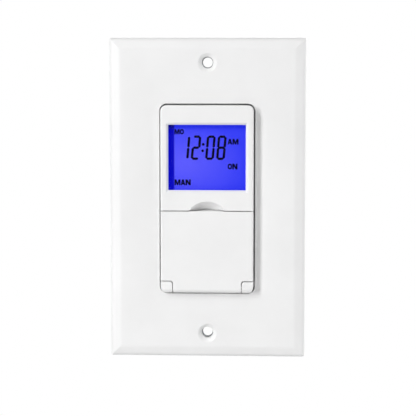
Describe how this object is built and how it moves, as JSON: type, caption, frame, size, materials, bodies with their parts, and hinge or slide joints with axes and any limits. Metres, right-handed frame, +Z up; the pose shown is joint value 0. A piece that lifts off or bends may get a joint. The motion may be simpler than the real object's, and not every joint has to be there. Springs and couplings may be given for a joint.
{
  "type": "timer light switch",
  "caption": "In-wall programmable timer light switch: white plate, lit display window and a flip-down door over its keys, on a strap-mounted switching module for a wall box.",
  "frame": {"origin": "midway between the two box screw holes, on the wall plane at the back of the strap", "axes": "+Z up, the front faces -Y, +X to the right seen from the front"},
  "size_m": [0.0698, 0.0386, 0.1142],
  "materials": {
    "plate_white": "smooth moulded, satin gloss",
    "face_white": "smooth moulded, fine satin",
    "door_white": "smooth moulded, fine satin",
    "key_white": "soft matt",
    "plunger_black": "moulded",
    "switch_grey": "moulded",
    "strap_steel": "zinc plated, pressed",
    "rod_steel": "drawn wire",
    "screw_steel": "zinc plated",
    "ground_green": "dyed green plating",
    "window_clear": "clear polished pane",
    "display_blue": "lit blue cell with dark segments",
    "guide_clear": "clear acrylic",
    "holder_pale": "moulded",
    "zebra_grey": "layered conductive rubber",
    "lamp_white": "moulded",
    "board_green": "solder resist",
    "cell_steel": "spun",
    "chip_black": "cast resin",
    "pin_brass": "gold flashed",
    "relay_blue": "moulded",
    "film_yellow": "moulded",
    "filter_black": "shrink sleeve",
    "varistor_blue": "dipped epoxy",
    "fuse_pale": "ceramic body",
    "housing_grey": "fine spark texture",
    "terminal_brass": "stamped"
  },
  "bodies": {
    "body": {"wall_plate": "plate_white", "mounting_strap": "strap_steel", "ground_screw": "ground_green", "front_bezel": "face_white", "lcd_window": "window_clear", "lcd_glass": "display_blue", "backlight_guide": "guide_clear", "lcd_holder": "holder_pale", "zebra_strips": "zebra_grey", "backlight_leds": "lamp_white", "push_switches": "switch_grey", "display_board": "board_green", "display_board_screws": "screw_steel", "battery_holder": "chip_black", "coin_cell": "cell_steel", "controller_chip": "chip_black", "clock_crystal": "cell_steel", "header_block": "chip_black", "header_pins": "pin_brass", "power_board": "board_green", "power_board_screws": "screw_steel", "relay": "relay_blue", "film_capacitor": "film_yellow", "filter_capacitors": "filter_black", "varistor": "varistor_blue", "fuse": "fuse_pale", "bridge_rectifier": "chip_black", "rear_housing": "housing_grey", "assembly_screws": "screw_steel", "terminal_screws": "terminal_brass", "neutral_screw": "screw_steel", "line_terminal": "terminal_brass", "load_terminal": "terminal_brass", "neutral_terminal": "terminal_brass"},
    "hinge": {"hinge_rod": "rod_steel"},
    "door": {"door": "door_white"},
    "manual_key": {"manual_key": "key_white", "manual_plunger": "plunger_black"},
    "reset_button": {"reset_plunger": "plunger_black"},
    "clock_key": {"clock_key": "key_white", "clock_plunger": "plunger_black"},
    "day_key": {"day_key": "key_white", "day_plunger": "plunger_black"},
    "hour_key": {"hour_key": "key_white", "hour_plunger": "plunger_black"},
    "program_key": {"program_key": "key_white", "program_plunger": "plunger_black"},
    "mode_key": {"mode_key": "key_white", "mode_plunger": "plunger_black"},
    "minute_key": {"minute_key": "key_white", "minute_plunger": "plunger_black"}
  },
  "joints": [
    {"name": "door_press", "type": "hinge", "parent": "body", "child": "hinge", "pos_m": [0, -0.0069, -0.03175], "axis": [1, 0, 0], "range_deg": [-1.3, 0], "stiffness_Nm_per_rad": 0.6},
    {"name": "door_swing", "type": "hinge", "parent": "hinge", "child": "door", "pos_m": [0, -0.0069, -0.03175], "axis": [1, 0, 0], "range_deg": [0, 130]},
    {"name": "manual_key_press", "type": "slide", "parent": "body", "child": "manual_key", "axis": [0, 1, 0], "range_m": [0, 0.00055]},
    {"name": "clock_key_press", "type": "slide", "parent": "body", "child": "clock_key", "axis": [0, 1, 0], "range_m": [0, 0.0005], "stiffness_N_per_m": 1500},
    {"name": "day_key_press", "type": "slide", "parent": "body", "child": "day_key", "axis": [0, 1, 0], "range_m": [0, 0.0005], "stiffness_N_per_m": 1500},
    {"name": "hour_key_press", "type": "slide", "parent": "body", "child": "hour_key", "axis": [0, 1, 0], "range_m": [0, 0.0005], "stiffness_N_per_m": 1500},
    {"name": "program_key_press", "type": "slide", "parent": "body", "child": "program_key", "axis": [0, 1, 0], "range_m": [0, 0.0005], "stiffness_N_per_m": 1500},
    {"name": "mode_key_press", "type": "slide", "parent": "body", "child": "mode_key", "axis": [0, 1, 0], "range_m": [0, 0.0005], "stiffness_N_per_m": 1500},
    {"name": "minute_key_press", "type": "slide", "parent": "body", "child": "minute_key", "axis": [0, 1, 0], "range_m": [0, 0.0005], "stiffness_N_per_m": 1500},
    {"name": "reset_press", "type": "slide", "parent": "body", "child": "reset_button", "axis": [0, 1, 0], "range_m": [0, 0.0005], "stiffness_N_per_m": 1500}
  ],
  "couplings": [
    {"joint": "manual_key_press", "follows": "door_press", "m_per_rad": -0.0225}
  ]
}
